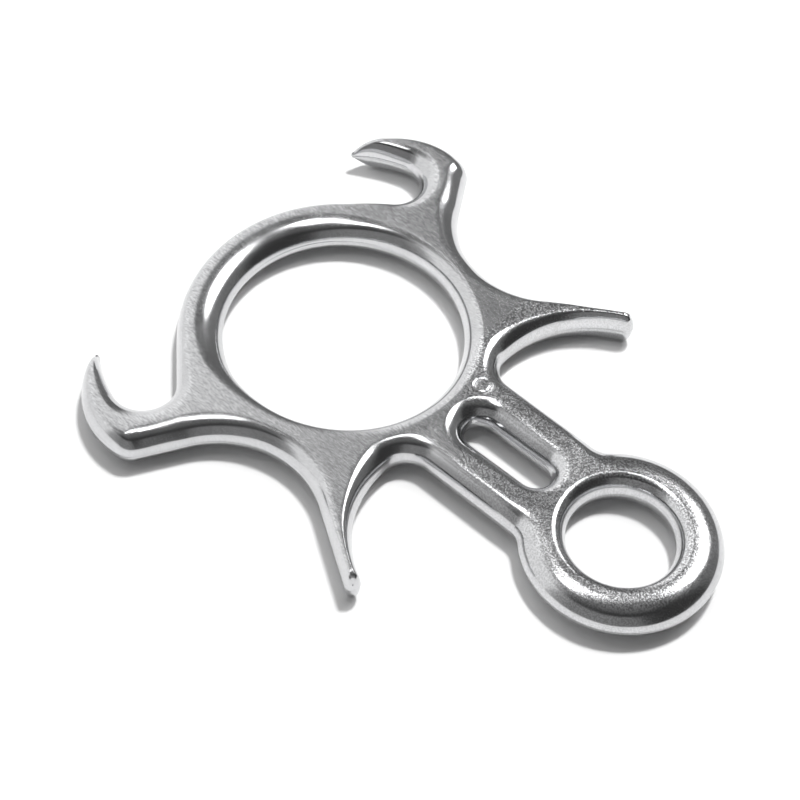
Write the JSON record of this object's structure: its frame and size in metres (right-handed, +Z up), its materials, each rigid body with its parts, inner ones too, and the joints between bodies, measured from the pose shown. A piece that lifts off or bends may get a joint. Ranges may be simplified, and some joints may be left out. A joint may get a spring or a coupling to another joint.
{
  "type": "figure-8 descender",
  "caption": "Flat one-piece figure-8 descender: a large rope ring, a small carabiner eye, a slotted stem, two curved hook horns and two straight horns.",
  "frame": {"origin": "middle of the outline, on the surface that the descender lies on", "axes": "+X along the stem from the rope ring to the carabiner eye, +Y to the left side, +Z up through the thickness"},
  "size_m": [0.1398, 0.1146, 0.0095],
  "materials": {
    "forging": "fine grain on the flat faces, polished edges"
  },
  "bodies": {
    "root": {"rope_ring": "forging", "carabiner_eye": "forging", "slotted_stem": "forging", "hook_horn_left": "forging", "hook_horn_right": "forging", "straight_horn_left": "forging", "straight_horn_right": "forging"}
  },
  "joints": []
}
